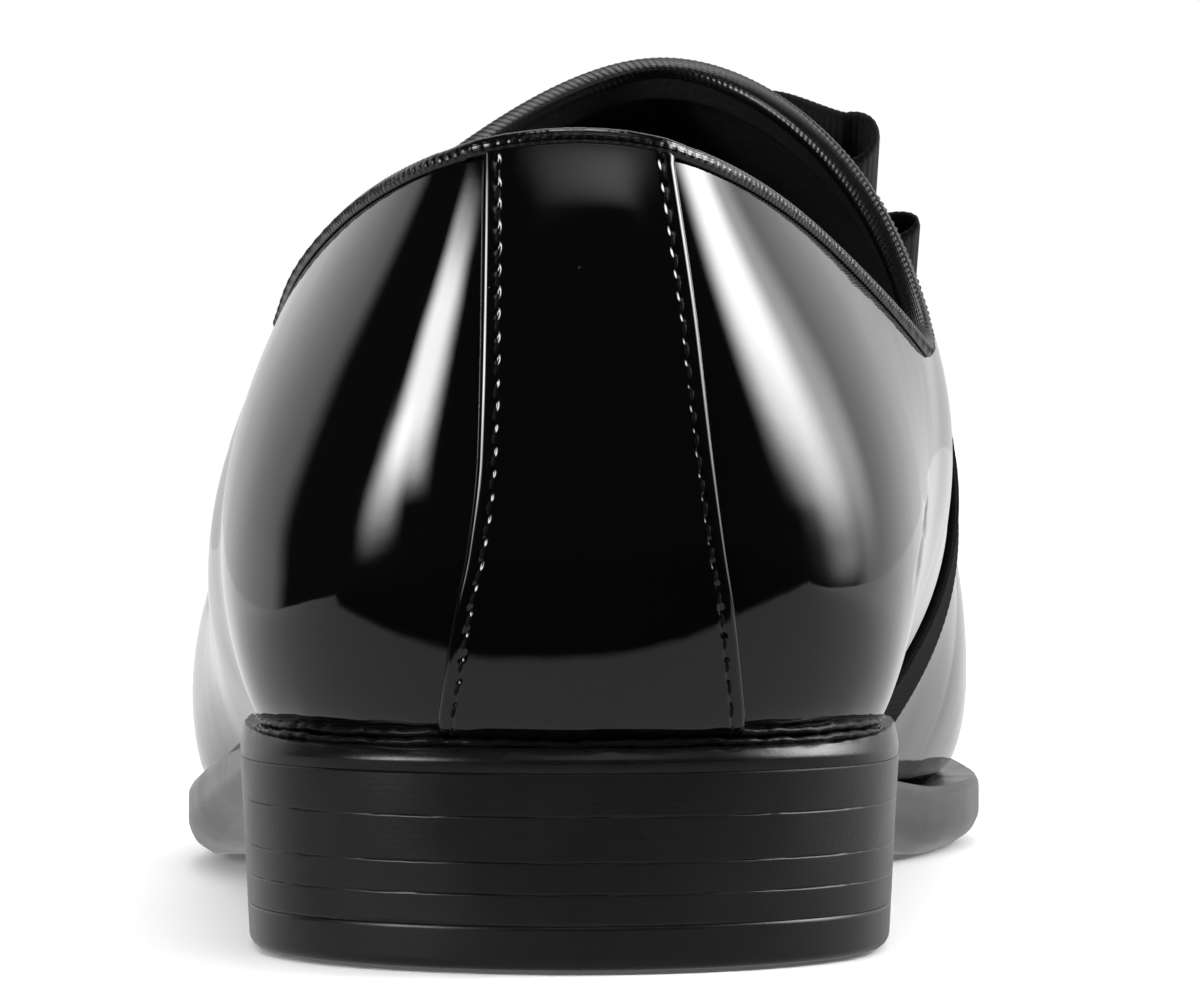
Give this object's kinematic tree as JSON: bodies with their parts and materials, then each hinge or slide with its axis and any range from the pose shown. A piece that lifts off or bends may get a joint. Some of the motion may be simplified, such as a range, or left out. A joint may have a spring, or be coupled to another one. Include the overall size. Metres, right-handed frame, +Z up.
{
  "type": "smoking slipper",
  "caption": "Left patent-leather smoking slipper with low stacked heel, pointed toe, ribbed ribbon collar edge, and a ribbon band with layered bow over the vamp; worn on the foot, no laces.",
  "frame": {"origin": "middle of the bounding box in plan, on the floor plane that the heel and the ball stand on", "axes": "+Y from heel to toe, +Z up, +X to the inner side of the foot (left shoe)"},
  "size_m": [0.101, 0.2988, 0.0984],
  "materials": {
    "sole_rubber": "satin black",
    "heel_rubber": "satin black with fine lines",
    "top_piece_rubber": "satin black",
    "insole_leather": "matte black",
    "patent_leather": "high gloss black",
    "strip_leather": "high gloss black, stitched edges",
    "binding_ribbon": "ribbed, soft sheen",
    "band_ribbon": "ribbed, matte",
    "lower_bow_ribbon": "ribbed, matte",
    "upper_bow_ribbon": "ribbed, matte",
    "knot_ribbon": "ribbed, matte"
  },
  "bodies": {
    "root": {"outsole": "sole_rubber", "heel_block": "heel_rubber", "heel_top_piece": "top_piece_rubber", "insole": "insole_leather", "upper": "patent_leather", "back_strip": "strip_leather", "topline_binding": "binding_ribbon", "vamp_band": "band_ribbon", "bow_lower": "lower_bow_ribbon", "bow_upper": "upper_bow_ribbon", "bow_knot": "knot_ribbon"}
  },
  "joints": []
}
